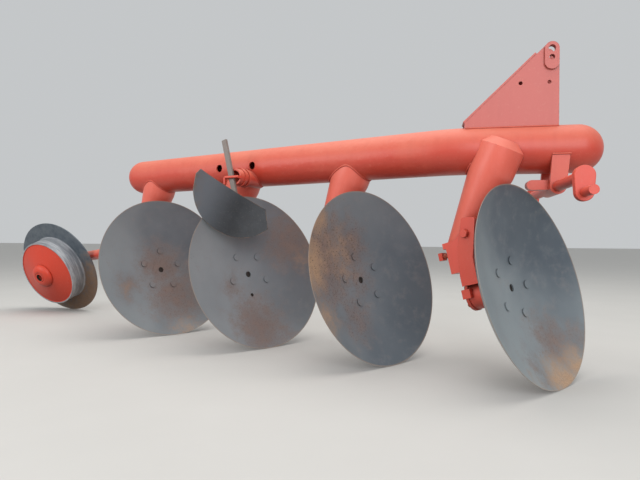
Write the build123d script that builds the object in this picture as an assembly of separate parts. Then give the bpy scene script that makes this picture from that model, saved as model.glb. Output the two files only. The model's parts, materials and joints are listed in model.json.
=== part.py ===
from build123d import *
import math
import os

# Four-disc mounted plough: a bent tubular beam carries four raked legs, each with a tilted dished disc on
# a bearing, a two-plate mast and a cross shaft at the front, and a leaning flanged wheel on a tail arm.
# Millimetres and degrees. X is forward, Y is left, Z is up. Places are first worked out from the point on
# the ground below the middle of the front disc, and all pieces are moved to the final origin at the end.

# Gap between seated faces, overshoot of a cut, and a length beyond any piece that is cut
seat_gap = 0.3
over = 1.0
beyond = 900.0

# Driving dimensions: the gang of discs
disc_count = 4
disc_diameter = 711.0
disc_thickness = 6.0
disc_dish = 90.0
disc_hole = 28.0
disc_edge = 2.0
disc_bevel = 14.0
disc_spacing = 595.0
gang_yaw = 20.2
disc_yaw = 36.0
disc_tilt = 15.2
bolt_count = 5
bolt_circle = 200.0
bolt_diameter = 16.0
bolt_head_diameter = 30.0
bolt_head_height = 5.0
bolt_nut = 29.0
bolt_nut_height = 12.0
bolt_fit = 0.5
bolt_turns = {1: 17.0, 2: 54.0, 3: 31.0, 4: 3.0}
empty_bolt_hole = {2: 3}

# Driving dimensions: the beam
beam_diameter = 177.8
beam_wall = 8.0
beam_height = 826.5
beam_offset = 82.0
beam_bend_radius = 420.0
beam_front_left = 185.0
beam_front_end = 175.0
beam_tail_reach = 145.0
port_diameter = 36.0
port_from_boss = (178.0, -23.0)

# Driving dimensions: legs and feet
leg_top_diameter = 166.0
leg_foot_diameter = 88.0
leg_wall = 9.0
leg_rake = 23.7
leg_foot_back = 284.2
leg_foot_height = 482.0
leg_overrun = 90.0
leg_taper_drop = 86.5
leg_cap_rise = 30.0
leg_cap_diameter = 104.0
foot_width = 112.0
foot_front = 206.0
foot_back = 282.0
foot_top = 212.0
foot_bottom = 92.0
foot_lip = 22.0
foot_lip_reach = 12.0
foot_eye_radius = 26.0

# Driving dimensions: bearing carrier and hub
set_bolt_legs = (2, 3, 4)
flange_diameter = 244.0
flange_thickness = 18.0
flange_boss_diameter = 104.0
flange_boss_rise = 14.0
running_gap = 6.0
shaft_diameter = 60.0
shaft_fit = 0.05
shaft_length = 98.0
shaft_end_gap = 3.0
collar_diameter = 180.0
collar_thickness = 16.0
housing_diameter = 104.0
housing_length = 100.0
cap_diameter = 112.0
cap_thickness = 12.0
cheek_thickness = 18.0
cheek_gap = 2.0
saddle_bottom = 37.0
saddle_top = 78.0
lug_size = 34.0
lug_back = 232.0
lug_height = 8.0
pivot_back = 176.0
pivot_height = 222.0
pivot_diameter = 24.0
pivot_head = 33.0
pivot_head_height = 15.0
set_bolt_diameter = 20.0
set_bolt_head = 30.0
set_bolt_head_height = 17.0
set_bolt_reach = 50.0
set_bolt_nut = 16.0
set_bolt_height = 172.0

# Rounds of a cheek: way back of the rim's plane, height over the disc's middle, radius.
# First the corners of its broad top, then those of its middle line down.
cheek_top = (
    (136.0, 262.0, 10.0),
    (170.0, 268.0, 12.0),
)
cheek_rounds = (
    (188.0, 170.0, 32.0),
    (197.0, 140.0, 30.0),
    (203.0, 70.0, 33.0),
)

# Driving dimensions: mast
mast_plate = 12.0
mast_gap = 54.0
mast_pin_x = 78.0
mast_pin_rise = 361.5
mast_pin_hole = 26.0
mast_low_hole = 20.0
mast_low_drop = 32.0
mast_head_radius = 25.0
mast_front_x = 105.0
mast_back_x = -228.0
mast_toe_height = 12.0
mast_doubler = 10.0
mast_doubler_radius = 25.0
mast_doubler_length = 100.0
mast_strip = 8.0
mast_strip_length = 355.0
small_hole = 14.0
small_hole_x = -29.0
small_hole_rise = 241.5
plug_x = 71.0

# Driving dimensions: lower hitch
shaft_x = 93.0
shaft_drop = 144.5
cross_shaft_diameter = 38.0
cross_shaft_half = 372.0
sleeve_wall = 9.0
bracket_thickness = 16.0
bracket_half = 85.0
bracket_width = 60.0
bracket_forward = 12.0
bracket_head = 20.0
stop_bar_reach = 101.0
stop_bar_height = 36.0
stop_bar_rise = 8.0
stop_bar_width = 40.0
stop_bar_side = -35.0
crank_thickness = 28.0
crank_radius = 31.0
crank_low_radius = 27.0
crank_drop = 50.0
hitch_pin_diameter = 28.6
hitch_pin_length = 85.0
linch_hole = 11.0
linch_inset = 20.0

# Driving dimensions: scraper at the second disc
scraper_disc = 2
boss_ahead = 67.0
boss_drop = 60.5
boss_reach = 182.0
boss_diameter = 74.0
boss_bore = 58.0
boss_bore_depth = 60.0
boss_collar_width = 12.0
boss_collar_diameter = 86.0
boss_collar_places = (112.0, 140.0)
post_width = 25.0
post_thickness = 12.0
post_behind = 12.0
post_lean = 14.6
post_up = 175.0
post_down = 92.0
clamp_rod = 12.0
clamp_half = 40.0
clamp_leg = 12.0
clamp_drop = 3.0
clamp_tab_height = 30.0
clamp_tab_thickness = 8.0
blade_thickness = 6.0
blade_radius = 400.0
blade_lean = 27.2
blade_turn = -28.0
blade_side = -140.0
blade_rise = 350.0
blade_front = 81.5
blade_top_left = -183.0
blade_top_right = 167.0
blade_tip = (-192.0, -28.0)
blade_left = (-166.0, -88.0)
blade_low_left = (-70.0, -168.0)
blade_low = (50.0, -189.0)
blade_low_right = (162.0, -149.0)
blade_heel = (212.0, -73.0)
blade_step = (190.0, -38.0)

# Driving dimensions: rear furrow wheel and its tail arm
wheel_yaw = 101.7
wheel_lean = 21.4
wheel_back = 2729.5
wheel_left = 1289.0
wheel_flange_diameter = 620.0
wheel_flange_thickness = 8.0
wheel_tread_diameter = 426.0
wheel_tread_wall = 8.0
wheel_width = 106.0
wheel_face_inset = 4.0
wheel_face_rise = 40.0
wheel_face_thickness = 6.0
wheel_hub_diameter = 84.0
wheel_hub_length = 218.0
wheel_axle_diameter = 45.0
wheel_axle_fit = 0.05
wheel_axle_reach = 132.0
wheel_hole = 42.0
wheel_hub_nose = 24.0
wheel_nose_diameter = 62.0
arm_diameter = 63.5
arm_boss_diameter = 96.0
arm_boss_length = 110.0
arm_boss_inset = 33.0
arm_start_height = 182.0
socket_wall = 14.0
socket_reach = 130.0
socket_behind = 60.0
tail_plate = 18.0
tail_bracket_width = 110.0
tail_bracket_height = 160.0
tail_bracket_middle = 162.0


def heading(yaw, tilt=0.0):
    """Direction turned right of forward by yaw and raised by tilt."""
    y, t = math.radians(yaw), math.radians(tilt)
    return Vector(math.cos(t) * math.cos(y), -math.cos(t) * math.sin(y), math.sin(t))


def level_plane(origin, axis):
    """Plane square to an axis, with its own x level and its own y as near to up as it can be."""
    across = Vector(0, 0, 1).cross(axis).normalized()
    return Plane(origin=origin, x_dir=across, z_dir=axis)


def rod(start, end, diameter):
    """Round bar between two points."""
    run = end - start
    return extrude(Plane(origin=start, z_dir=run.normalized()) * Circle(diameter / 2), run.length)


def ring(plane, outer, inner, low, high):
    """Turned ring on a plane, from one height to another."""
    face = Circle(outer / 2) - Circle(inner / 2) if inner else Circle(outer / 2)
    return extrude(plane.offset(low) * face, high - low)


def moved(plane, x, y):
    """The same plane with its middle moved along its own x and y."""
    return Plane(origin=plane.origin + plane.x_dir * x + plane.y_dir * y, x_dir=plane.x_dir, z_dir=plane.z_dir)


# The line of the gang, the axis of the discs and what both give
along = heading(gang_yaw)
to_left = Vector(0, 0, 1).cross(along)
disc_axis = heading(disc_yaw, disc_tilt)
disc_radius = disc_diameter / 2
disc_rise = disc_radius * math.cos(math.radians(disc_tilt)) + disc_edge * math.sin(math.radians(disc_tilt))
beam_radius = beam_diameter / 2
leg_top_back = leg_foot_back - math.tan(math.radians(leg_rake)) * (beam_height - leg_foot_height)
leg_taper_start = beam_height - leg_taper_drop
mast_pin_z = beam_height + mast_pin_rise
small_hole_z = beam_height + small_hole_rise
shaft_z = beam_height - shaft_drop
boss_back = (disc_count - scraper_disc) * disc_spacing + leg_top_back - boss_ahead
boss_height = beam_height - boss_drop


def disc_centre(number):
    """Middle of a disc's rim, number 1 at the rear."""
    back = (disc_count - number) * disc_spacing
    return Vector(0, 0, disc_rise) - along * back


def disc_plane(number):
    return level_plane(disc_centre(number), disc_axis)


def gang_point(back, left, height):
    """Point by its way back along the gang, its way left of the discs' line and its height."""
    spot = along * -back + to_left * left
    return Vector(spot.X, spot.Y, height)


# Beam
beam_bend_back = (beam_front_left - (to_left * beam_offset).Y) / -along.Y
beam_bend = gang_point(beam_bend_back, beam_offset, beam_height)
leg_pitch_back = leg_top_back + (disc_count - 1) * disc_spacing
beam_tail = gang_point(leg_pitch_back + beam_tail_reach, beam_offset, beam_height)
beam_nose = Vector(beam_front_end, beam_bend.Y, beam_height)


def beam_solid(radius, rear=None, front=None):
    """Bent round bar with a domed end at the tail and at the nose."""
    path = FilletPolyline(beam_tail, beam_bend, beam_nose, radius=beam_bend_radius)
    section = Plane(origin=beam_tail, z_dir=along) * Circle(radius)
    bar = sweep(section, path=path)
    return bar + Pos(*beam_tail) * Sphere(radius) + Pos(*beam_nose) * Sphere(radius)


def make_beam():
    body = beam_solid(beam_radius) - beam_solid(beam_radius - beam_wall)
    for behind in port_from_boss:
        centre = gang_point(boss_back + behind, beam_offset, beam_height)
        body -= rod(centre, centre - to_left * beam_diameter, port_diameter)
    return body


# Legs
cheek_inner = foot_width / 2 + cheek_gap


def side_plane(number, side):
    """Plane square to the disc's level direction, x going back along the disc's axis, y up."""
    base = disc_plane(number)
    return Plane(origin=base.origin + base.x_dir * side, x_dir=-base.z_dir, z_dir=base.x_dir)


def pivot_bore(number):
    """Hole for the pivot bolt, through both cheeks and the leg between them."""
    half = cheek_inner + cheek_thickness + over
    spot = Pos(pivot_back, pivot_height)
    return extrude(side_plane(number, -half) * spot * Circle(pivot_diameter / 2 + seat_gap / 2), 2 * half)


def leg_axis_point(number, height):
    """Point on a leg's axis at a height."""
    back = (disc_count - number) * disc_spacing + leg_top_back
    lean = math.tan(math.radians(leg_rake)) * (beam_height - height)
    return gang_point(back + lean, beam_offset, height)


def leg_solid(number, shrink, foot_height):
    """Round leg, straight at the top and tapered from below the beam to the foot."""
    top = leg_axis_point(number, beam_height)
    start = leg_axis_point(number, leg_taper_start)
    end = leg_axis_point(number, foot_height)
    axis = (end - top).normalized()
    full = (leg_axis_point(number, leg_foot_height) - start).length
    slope = (leg_top_diameter - leg_foot_diameter) / 2 / full
    low_radius = leg_top_diameter / 2 - slope * (end - start).length
    upper = Plane(origin=top, z_dir=axis) * Circle(leg_top_diameter / 2 - shrink)
    lower = Plane(origin=start, z_dir=axis)
    cone = loft([lower * Circle(leg_top_diameter / 2 - shrink),
                 lower.offset((end - start).length) * Circle(low_radius - shrink)])
    return extrude(upper, (start - top).length) + cone


def leg_cap(number):
    """Sloped cap that closes a leg's top where it stands out beside the beam."""
    top = leg_axis_point(number, beam_height)
    axis = (leg_axis_point(number, leg_foot_height) - top).normalized()
    plane = Plane(origin=top, z_dir=axis)
    plate = extrude(plane * Circle(leg_top_diameter / 2), leg_wall)
    return plate + loft([plane * Circle(leg_top_diameter / 2),
                         plane.offset(-leg_cap_rise) * Circle(leg_cap_diameter / 2)])


def make_leg(number):
    end = leg_foot_height - leg_overrun
    tube = leg_solid(number, 0, end) - leg_solid(number, leg_wall, end)
    below = disc_plane(number)
    below = Plane(origin=below.origin + below.y_dir * foot_top, x_dir=below.x_dir, z_dir=-below.y_dir)
    tube -= below * Box(beyond, beyond, beyond, align=(Align.CENTER, Align.CENTER, Align.MIN))
    tube -= foot_eye(number, seat_gap)
    tube += leg_cap(number)
    return (tube - beam_solid(beam_radius)).solids().sort_by(SortBy.VOLUME)[-1]


# Feet: a block below the leg, between the cheeks of the bearing carrier
def round_hull(rounds):
    """Chain of round-ended bars through a row of rounds, each given as x, y and radius."""
    outline = None
    for first, second in zip(rounds, rounds[1:]):
        ends = [Pos(x, y) * Circle(radius) for x, y, radius in (first, second)]
        bar = make_hull(ends[0].edges() + ends[1].edges())
        outline = outline + bar if outline else bar
    return outline


def foot_eye(number, grow=0.0):
    """Eye for the pivot bolt, reaching forward from the foot's block."""
    half = foot_width / 2
    radius = foot_eye_radius + grow
    rounds = ((pivot_back, pivot_height, radius), (foot_front + radius, foot_top - radius, radius))
    return extrude(side_plane(number, -half) * round_hull(rounds), foot_width)


def make_foot(number):
    plane = disc_plane(number)
    low = (Align.CENTER, Align.MAX, Align.MIN)
    block = plane.offset(-foot_back) * Pos(0, foot_top, 0) * Box(
        foot_width, foot_top - foot_bottom, foot_back - foot_front, align=low)
    lip = plane.offset(-foot_back - foot_lip_reach) * Pos(0, foot_top, 0) * Box(
        foot_width, foot_lip, foot_back - foot_front + 2 * foot_lip_reach, align=low)
    body = block + lip + foot_eye(number) - pivot_bore(number)
    if number in set_bolt_legs:
        hole = ring(moved(plane, 0, set_bolt_height), set_bolt_diameter + seat_gap, 0,
                    -foot_back - foot_lip_reach - over, -foot_front + over)
        body -= hole
    return body


# Bearing carriers: a turned housing with two cheeks that clasp the leg's foot
flange_front = -(disc_dish + disc_thickness)
flange_back = flange_front - flange_thickness - flange_boss_rise
housing_front = flange_back - running_gap


def make_carrier(number):
    plane = disc_plane(number)
    tail = housing_front - housing_length
    body = ring(plane, collar_diameter, 0, housing_front - collar_thickness, housing_front)
    body += ring(plane, housing_diameter, 0, tail, housing_front - collar_thickness)
    body += ring(plane, cap_diameter, 0, tail - cap_thickness, tail)
    outer = cheek_inner + cheek_thickness
    corners = [Pos(x, y) * Circle(radius) for x, y, radius in cheek_top + cheek_rounds[:1]]
    outline = round_hull(cheek_rounds) + make_hull(ShapeList(e for c in corners for e in c.edges()))
    for side in (-outer, cheek_inner):
        body += extrude(side_plane(number, side) * outline, cheek_thickness)
    back, height, radius = cheek_rounds[-1]
    body += plane.offset(-back) * Pos(0, saddle_bottom, 0) * Box(
        2 * outer, saddle_top - saddle_bottom, 2 * radius, align=(Align.CENTER, Align.MIN, Align.CENTER))
    lug_place = plane.offset(-lug_back) * Pos(-housing_diameter / 2, lug_height, 0)
    body += lug_place * Box(lug_size, lug_size, lug_size)
    bore_end = flange_back - shaft_length - shaft_end_gap
    body -= ring(plane, shaft_diameter + 2 * shaft_fit, 0, bore_end, housing_front + over)
    body -= leg_solid(number, -seat_gap, leg_foot_height)
    return body - pivot_bore(number)


def make_adjusters(number):
    """Pivot bolt through the cheeks and the foot's eye, and square-headed set bolt behind the foot."""
    plane = disc_plane(number)
    half = cheek_inner + cheek_thickness
    spot = Pos(pivot_back, pivot_height)
    pivot = extrude(side_plane(number, -half) * spot * Circle(pivot_diameter / 2), 2 * half)
    for at in (-half - pivot_head_height, half):
        pivot += extrude(side_plane(number, at) * spot * RegularPolygon(pivot_head / 2, 6), pivot_head_height)
    if number not in set_bolt_legs:
        return [pivot]
    high = moved(plane, 0, set_bolt_height)
    head = -foot_back - set_bolt_reach
    bolt = ring(high, set_bolt_diameter, 0, head, -foot_front)
    bolt += extrude(high.offset(head - set_bolt_head_height) * Rectangle(set_bolt_head, set_bolt_head),
                    set_bolt_head_height)
    bolt += extrude(high.offset(-foot_back - set_bolt_nut) * RegularPolygon(set_bolt_head / 2, 6), set_bolt_nut)
    return [pivot, bolt]


# Discs and hubs
def disc_sphere_radius():
    """Radius of the ball of which the hollow face is a cap."""
    return (disc_radius ** 2 + disc_dish ** 2) / (2 * disc_dish)


def cap_height(radius, ball):
    """Height of a ball's surface above the rim plane, with the ball's middle where the hollow face has it."""
    middle = disc_sphere_radius() - disc_dish
    return middle - math.sqrt(ball ** 2 - radius ** 2)


def bolt_places(number):
    return [(bolt_circle / 2, 360.0 * turn / bolt_count + bolt_turns[number]) for turn in range(bolt_count)]


def make_disc(number):
    hollow = disc_sphere_radius()
    back = hollow + disc_thickness
    inner, outer = disc_hole / 2, disc_radius
    shoulder = outer - disc_bevel
    points = [(inner, cap_height(inner, hollow)), (outer, 0.0), (outer, -disc_edge),
              (shoulder, cap_height(shoulder, back)), (inner, cap_height(inner, back))]
    middle = (inner + outer) / 2
    half = (inner + shoulder) / 2
    face = make_face([
        ThreePointArc(points[0], (middle, cap_height(middle, hollow)), points[1]),
        Line(points[1], points[2]),
        Line(points[2], points[3]),
        ThreePointArc(points[3], (half, cap_height(half, back)), points[4]),
        Line(points[4], points[0])])
    plate = revolve(Plane.XZ * face, Axis.Z)
    for radius, turn in bolt_places(number):
        plate -= Rot(0, 0, turn) * Pos(radius, 0, flange_front) * Cylinder(
            bolt_diameter / 2 + bolt_fit, 4 * disc_thickness + disc_dish)
    return disc_plane(number).location * plate


def make_hub(number):
    """Flange that seats on the disc's round back, with its boss and shaft in the bearing."""
    plane = Plane.XY
    ball = disc_sphere_radius() + disc_thickness + seat_gap
    rim_height = cap_height(flange_diameter / 2, ball) + over
    body = ring(plane, flange_diameter, 0, flange_front - flange_thickness, rim_height)
    body += ring(plane, flange_boss_diameter, 0, flange_back, flange_front)
    body += ring(plane, shaft_diameter, 0, flange_back - shaft_length, flange_back)
    body -= Pos(0, 0, disc_sphere_radius() - disc_dish) * Sphere(ball)
    for radius, turn in bolt_places(number):
        body -= Rot(0, 0, turn) * Pos(radius, 0, flange_front) * Cylinder(
            bolt_diameter / 2 + bolt_fit, disc_dish)
    return disc_plane(number).location * body


def make_disc_bolts(number):
    """Low round-headed bolts with their nuts, around the disc's middle."""
    bolts = []
    empty = empty_bolt_hole.get(number)
    seat = cap_height(bolt_circle / 2, disc_sphere_radius()) + seat_gap
    lean = math.degrees(math.asin(bolt_circle / 2 / disc_sphere_radius()))
    for index, (radius, turn) in enumerate(bolt_places(number)):
        if index == empty:
            continue
        head = Pos(radius, 0, seat) * Rot(0, -lean, 0) * Cylinder(
            bolt_head_diameter / 2, bolt_head_height, align=(Align.CENTER, Align.CENTER, Align.MIN))
        end = flange_front - flange_thickness - seat_gap
        shank = Pos(radius, 0, end) * Cylinder(
            bolt_diameter / 2, seat - end + bolt_head_height / 2, align=(Align.CENTER, Align.CENTER, Align.MIN))
        hexagon = Pos(radius, 0, end - bolt_nut_height) * extrude(
            RegularPolygon(bolt_nut / 2, 6), bolt_nut_height)
        bolts.append(Rot(0, 0, turn) * (head + shank + hexagon))
    return disc_plane(number).location * Compound(children=[bolt.solid() for bolt in bolts])


# Mast
mast_half = mast_gap / 2 + mast_plate


def beam_top_at(left):
    """Height of the beam's skin at a way left of its own middle."""
    return beam_height + math.sqrt(beam_radius ** 2 - left ** 2)


def mast_outline():
    """Mast plate seen from the side: upright front edge, round head and long rear slope."""
    head = Pos(mast_pin_x, mast_pin_z) * Circle(mast_head_radius)
    foot = beam_height
    toe = beam_top_at(0) + mast_toe_height
    corners = Polyline((mast_front_x, foot), (mast_front_x, mast_pin_z), (mast_pin_x, mast_pin_z),
                       (mast_back_x, toe), (mast_back_x, foot), (mast_front_x, foot))
    return make_hull(head.edges() + corners.edges())


def make_mast_plate(side):
    """One plate with its doubler, side is 1 for left and -1 for right."""
    outer = beam_bend.Y + side * mast_half
    inner = beam_bend.Y + side * mast_gap / 2
    plane = Plane(origin=(0, inner, 0), x_dir=(1, 0, 0), z_dir=(0, -1, 0))
    plate = extrude(plane * mast_outline(), -side * mast_plate)
    slot = SlotOverall(mast_doubler_length, 2 * mast_doubler_radius, rotation=90)
    face = Plane(origin=(0, outer, 0), x_dir=(1, 0, 0), z_dir=(0, -1, 0))
    middle = mast_pin_z + mast_doubler_radius - mast_doubler_length / 2
    doubler = extrude(face * Pos(mast_pin_x, middle) * slot, -side * mast_doubler)
    body = plate + doubler
    for x, z, size in ((mast_pin_x, mast_pin_z, mast_pin_hole),
                       (mast_pin_x, mast_pin_z - mast_low_drop, mast_low_hole),
                       (small_hole_x, small_hole_z, small_hole),
                       (plug_x, small_hole_z, small_hole)):
        body -= Pos(x, beam_bend.Y, z) * Rot(90, 0, 0) * Cylinder(size / 2, 4 * mast_half)
    return (body - beam_solid(beam_radius)).solids().sort_by(SortBy.VOLUME)[-1]


def make_mast_strip():
    """Flat strip welded along the slope, over the rear edges of both plates."""
    toe = beam_top_at(0) + mast_toe_height
    rise, run = mast_pin_z - toe, mast_pin_x - mast_back_x
    slope = math.atan2(rise, run) + math.asin(mast_head_radius / math.hypot(rise, run))
    strip = Pos(mast_back_x, beam_bend.Y, toe) * Rot(0, -math.degrees(slope), 0) * Box(
        mast_strip_length, 2 * mast_half, mast_strip, align=(Align.MIN, Align.CENTER, Align.MIN))
    return (strip - beam_solid(beam_radius)).solids().sort_by(SortBy.VOLUME)[-1]


# Lower hitch
def make_hitch_bracket():
    """Two hanging plates below the beam's nose with a sleeve for the cross shaft and a stop bar behind it."""
    centre = Vector(shaft_x, beam_bend.Y, shaft_z)
    sleeve_radius = cross_shaft_diameter / 2 + sleeve_wall
    body = Pos(*centre) * Rot(90, 0, 0) * Cylinder(sleeve_radius, 2 * bracket_half)
    for inner in (-bracket_half, bracket_half - bracket_thickness):
        plane = Plane(origin=(0, centre.Y + inner + bracket_thickness, 0), x_dir=(1, 0, 0), z_dir=(0, -1, 0))
        eye = Pos(shaft_x, shaft_z) * Circle(sleeve_radius)
        top = Pos(shaft_x + bracket_forward, beam_height) * Rectangle(bracket_width, bracket_head)
        body += extrude(plane * make_hull(eye.edges() + top.edges()), bracket_thickness)
    rounds = ((shaft_x - stop_bar_reach + stop_bar_height / 2, shaft_z + stop_bar_rise, stop_bar_height / 2),
              (shaft_x, shaft_z + stop_bar_rise, stop_bar_height / 2))
    bar = Plane(origin=(0, centre.Y + stop_bar_side + stop_bar_width / 2, 0), x_dir=(1, 0, 0), z_dir=(0, -1, 0))
    body += extrude(bar * round_hull(rounds), stop_bar_width)
    body -= Pos(*centre) * Rot(90, 0, 0) * Cylinder(cross_shaft_diameter / 2 + seat_gap / 2, 4 * bracket_half)
    return (body - beam_solid(beam_radius)).solids().sort_by(SortBy.VOLUME)[-1]


def make_cross_shaft():
    return Pos(shaft_x, beam_bend.Y, shaft_z) * Rot(90, 0, 0) * Cylinder(
        cross_shaft_diameter / 2, 2 * cross_shaft_half)


def make_crank(side):
    """Short forged crank on the shaft's end."""
    inner = beam_bend.Y + side * cross_shaft_half
    plane = Plane(origin=(0, inner, 0), x_dir=(1, 0, 0), z_dir=(0, -1, 0))
    rounds = ((shaft_x, shaft_z, crank_radius), (shaft_x, shaft_z - crank_drop, crank_low_radius))
    return extrude(plane * round_hull(rounds), -side * crank_thickness)


def make_hitch_pin(side):
    """Lower hitch pin with the cross hole for its linch pin."""
    inner = beam_bend.Y + side * (cross_shaft_half + crank_thickness)
    at = Vector(shaft_x, inner, shaft_z - crank_drop)
    out = Vector(0, side, 0)
    pin = rod(at, at + out * hitch_pin_length, hitch_pin_diameter)
    hole = at + out * (hitch_pin_length - linch_inset)
    up = Vector(0, 0, hitch_pin_diameter)
    return pin - rod(hole - up, hole + up, linch_hole)


# Scraper
boss_start = gang_point(boss_back, beam_offset, boss_height)


def boss_plane(reach):
    """Plane square to the boss at a reach from the beam's middle, its x forward along the gang, its y up."""
    return Plane(origin=boss_start - to_left * reach, x_dir=along, z_dir=-to_left)


def make_boss():
    """Tube with an open end and two collars, standing out of the beam's right side."""
    body = ring(boss_plane(0), boss_diameter, 0, 0, boss_reach)
    for place in boss_collar_places:
        body += ring(boss_plane(place), boss_collar_diameter, 0, 0, boss_collar_width)
    body -= ring(boss_plane(boss_reach - boss_bore_depth), boss_bore, 0, 0, boss_bore_depth + over)
    body -= leg_solid(scraper_disc, -seat_gap, leg_foot_height)
    return (body - beam_solid(beam_radius)).solids().sort_by(SortBy.VOLUME)[-1]


def make_post():
    """Flat bar across the boss's open end, cut at its foot to the round of the blade's back."""
    plane = boss_plane(boss_reach + seat_gap)
    bar = plane * Pos(-post_behind, 0, 0) * Rot(0, 0, post_lean) * Pos(0, -post_down, 0) * Box(
        post_width, post_up + post_down, post_thickness, align=(Align.CENTER, Align.MIN, Align.MIN))
    blade_side_of = disc_plane(scraper_disc).location * blade_spot() * blade_roll()
    return bar - blade_side_of * Cylinder(blade_radius + seat_gap, 4 * blade_radius)


def make_clamp():
    """Staple over the post, with two legs on the boss's rim and a tab at its rear end."""
    rod_plane = boss_plane(boss_reach + 2 * seat_gap + post_thickness + clamp_rod / 2)
    level = rod_plane.origin - Vector(0, 0, clamp_drop)
    body = rod(level - along * clamp_half, level + along * clamp_half, clamp_rod)
    leg_length = seat_gap + post_thickness + clamp_rod / 2
    middle = (boss_diameter + boss_bore) / 4
    for side in (-1, 1):
        body += boss_plane(boss_reach + seat_gap) * Pos(side * middle, -clamp_drop, 0) * Box(
            clamp_leg, clamp_leg, leg_length, align=(Align.CENTER, Align.CENTER, Align.MIN))
    body += rod_plane * Pos(-clamp_half, -clamp_drop, 0) * Box(
        clamp_tab_thickness, clamp_tab_height, clamp_rod, align=(Align.CENTER, Align.MAX, Align.CENTER))
    return body


def blade_spot():
    """Place of the blade's middle on the disc's plane, leant back at its foot."""
    return Pos(blade_side, blade_rise, blade_front) * Rot(0, 0, blade_turn) * Rot(blade_lean, 0, 0)


def blade_roll():
    """Place of the blade's axis of curvature."""
    return Pos(0, 0, blade_radius) * Rot(90, 0, 0)


def make_blade():
    """Curved plate, hollow toward the disc's open side, cut to a mouldboard's outline."""
    left, right = (blade_top_left, 0.0), (blade_top_right, 0.0)
    outline = make_face([
        Line(left, right),
        Line(right, blade_step),
        Line(blade_step, blade_heel),
        ThreePointArc(blade_heel, blade_low_right, blade_low),
        ThreePointArc(blade_low, blade_low_left, blade_left),
        Line(blade_left, blade_tip),
        Line(blade_tip, left)])
    prism = extrude(outline, amount=blade_radius / 2, both=True)
    tall = 2 * blade_radius
    shell = blade_roll() * (Cylinder(blade_radius, tall) - Cylinder(blade_radius - blade_thickness, tall))
    plate = (prism & shell).solids().sort_by(Axis.Z)[0]
    return disc_plane(scraper_disc).location * blade_spot() * plate


# Rear furrow wheel
wheel_axis = heading(wheel_yaw, -wheel_lean)
wheel_radius = wheel_flange_diameter / 2


def wheel_plane():
    """Plane of the flange, its z out of the open face toward the right."""
    contact = Vector(-wheel_back, wheel_left, wheel_flange_thickness / 2 * math.sin(math.radians(wheel_lean)))
    return moved(level_plane(contact, wheel_axis), 0, wheel_radius)


def make_wheel_rim():
    """Flange ring with the drum that rolls on the furrow's floor."""
    plane = Plane.XY
    inner = wheel_tread_diameter - 2 * wheel_tread_wall
    body = ring(plane, wheel_flange_diameter, inner, -wheel_flange_thickness / 2, wheel_flange_thickness / 2)
    body += ring(plane, wheel_tread_diameter, inner, wheel_flange_thickness / 2, wheel_width)
    return wheel_plane().location * body


face_edge = wheel_width - wheel_face_inset
hub_high = face_edge + wheel_face_rise
hub_base = hub_high - wheel_hub_length
nose_high = hub_high + wheel_hub_nose


def make_wheel_face():
    """Shallow cone with its round nose, welded inside the drum near the open side, and its hub."""
    outer = wheel_tread_diameter / 2 - wheel_tread_wall
    hub = wheel_hub_diameter / 2
    thick = wheel_face_thickness
    points = [(hub, hub_high), (outer, face_edge), (outer, face_edge - thick), (hub, hub_high - thick)]
    web = revolve(Plane.XZ * make_face(Polyline(points, close=True)), Axis.Z)
    body = ring(Plane.XY, wheel_hub_diameter, 0, hub_base, hub_high)
    body += loft([Plane.XY.offset(hub_high) * Circle(hub),
                  Plane.XY.offset(nose_high) * Circle(wheel_nose_diameter / 2)])
    body -= ring(Plane.XY, wheel_axle_diameter + 2 * wheel_axle_fit, 0, hub_base - over, hub_high)
    body -= ring(Plane.XY, wheel_hole, 0, hub_high - over, nose_high + over)
    return wheel_plane().location * (web + body)


def make_axle():
    """Spindle in the hub, held in the round boss at the arm's end."""
    body = ring(Plane.XY, wheel_axle_diameter, 0, hub_base - wheel_axle_reach, hub_high - running_gap)
    return wheel_plane().location * body


arm_boss_high = hub_base - running_gap
arm_boss_low = arm_boss_high - arm_boss_length


def arm_end():
    return wheel_plane().origin + wheel_axis * (arm_boss_low + arm_boss_inset)


def arm_start():
    plane = disc_plane(1)
    return plane.origin - disc_axis * (foot_back + foot_lip_reach + tail_plate) + plane.y_dir * arm_start_height


def make_arm():
    """Round tail arm from the rear leg's foot to the wheel's spindle boss."""
    start, end = arm_start(), arm_end()
    boss = ring(wheel_plane(), arm_boss_diameter, 0, arm_boss_low, arm_boss_high)
    bore = ring(wheel_plane(), wheel_axle_diameter + seat_gap, 0, arm_boss_low - over, arm_boss_high + over)
    return rod(start, end, arm_diameter) + boss - bore


def make_tail_bracket():
    """Plate and socket behind the rear leg's foot that hold the tail arm."""
    plane = disc_plane(1)
    plate = plane.offset(-foot_back - foot_lip_reach - tail_plate) * Pos(0, tail_bracket_middle, 0) * Box(
        tail_bracket_width, tail_bracket_height, tail_plate, align=(Align.CENTER, Align.CENTER, Align.MIN))
    start, end = arm_start(), arm_end()
    run = (end - start).normalized()
    socket = rod(start - run * socket_behind, start + run * socket_reach, arm_diameter + 2 * socket_wall)
    hole = rod(start, start + run * 2 * socket_reach, arm_diameter + seat_gap)
    behind = plane.offset(-foot_back - foot_lip_reach - beyond) * Box(
        beyond, beyond, beyond, align=(Align.CENTER, Align.CENTER, Align.MIN))
    return ((plate + socket) & behind) - hole - leg_solid(1, -seat_gap, leg_foot_height - leg_overrun)


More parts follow.
